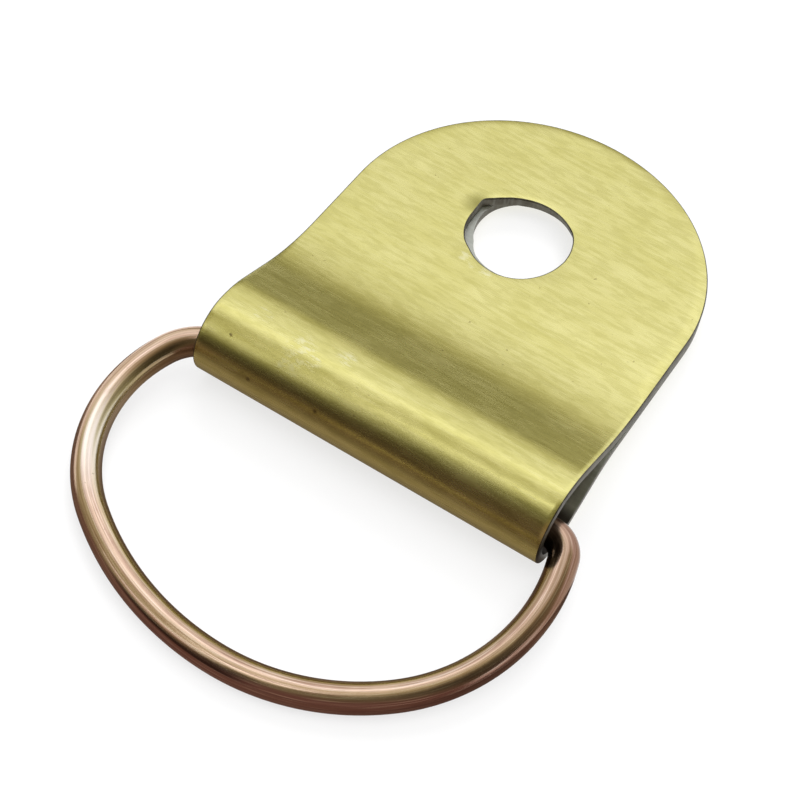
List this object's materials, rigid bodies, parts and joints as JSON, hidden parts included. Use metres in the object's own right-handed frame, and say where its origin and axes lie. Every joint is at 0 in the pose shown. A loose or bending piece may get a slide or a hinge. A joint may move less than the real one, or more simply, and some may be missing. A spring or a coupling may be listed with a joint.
{
  "type": "picture hook",
  "caption": "D-ring picture hanger: a brass-plated sheet strap with a round end and a screw hole, folded round the straight bar of a loose copper-coloured wire D ring.",
  "frame": {"origin": "on the axis of the back leaf's screw hole, in the back face of the back leaf, which lies on the picture frame", "axes": "+Z out of the front face, +Y along the strap away from the ring, +X along the hinge to the right as seen from the front with the ring at the bottom"},
  "size_m": [0.019, 0.0286, 0.0045],
  "materials": {
    "brass_plate": "satin brass plating with a fine grain across the strap; bare grey steel at the cut edges and inside the fold",
    "copper_wire": "glossy copper-washed steel wire, tarnished to a rose brown"
  },
  "bodies": {
    "strap": {"folded_strap": "brass_plate"},
    "ring": {"d_ring": "copper_wire"}
  },
  "joints": [
    {"name": "ring_swing", "type": "hinge", "parent": "strap", "child": "ring", "pos_m": [0.00038, -0.01141, 0], "axis": [-1, 0, 0], "range_deg": [-165, 176]}
  ]
}
